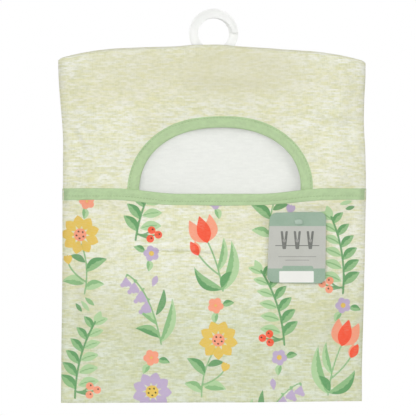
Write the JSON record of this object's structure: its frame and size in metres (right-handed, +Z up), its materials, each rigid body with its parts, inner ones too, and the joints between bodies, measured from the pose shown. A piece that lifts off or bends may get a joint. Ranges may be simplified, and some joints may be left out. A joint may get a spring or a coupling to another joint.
{
  "type": "peg bag",
  "caption": "Flat cotton bag with a bound, arched mouth and a pocket for clothes pegs, hung from a washing line by opposed plastic hooks on a double hanger.",
  "frame": {"origin": "the middle of the hooks' inner top, where the washing line bears", "axes": "+Z up along the hanging bag, +X to the right and -Y to the front as seen by someone facing the mouth"},
  "size_m": [0.3084, 0.0295, 0.3943],
  "materials": {
    "hanger_plastic": "moulded white polypropylene, slightly translucent",
    "printed_cloth": "plain-weave cotton printed with a linen-look ground",
    "binding_tape": "folded sage green cotton tape",
    "tag_card": "coated card in bands of green and grey",
    "clear_nylon": "clear nylon"
  },
  "bodies": {
    "hanger_rear": {"hanger_rear": "hanger_plastic"},
    "hanger_front": {"hanger_front": "hanger_plastic"},
    "bag": {"back_panel": "printed_cloth", "front_upper_panel": "printed_cloth", "pocket_panel": "printed_cloth", "mouth_binding": "binding_tape", "pocket_binding": "binding_tape", "tag_pin": "clear_nylon"},
    "tag": {"swing_tag": "tag_card"}
  },
  "joints": [
    {"name": "hook_part", "type": "hinge", "parent": "hanger_rear", "child": "hanger_front", "pos_m": [0, 0, -0.0537], "axis": [1, 0, 0], "range_deg": [0, 5], "stiffness_Nm_per_rad": 0.2},
    {"name": "bag_lift", "type": "slide", "parent": "hanger_rear", "child": "bag", "axis": [0, 0, 1], "range_m": [0, 0.042]},
    {"name": "tag_swing", "type": "hinge", "parent": "bag", "child": "tag", "pos_m": [0.085, -0.017, -0.2045], "axis": [0, -1, 0], "range_deg": [-75, 75]}
  ]
}
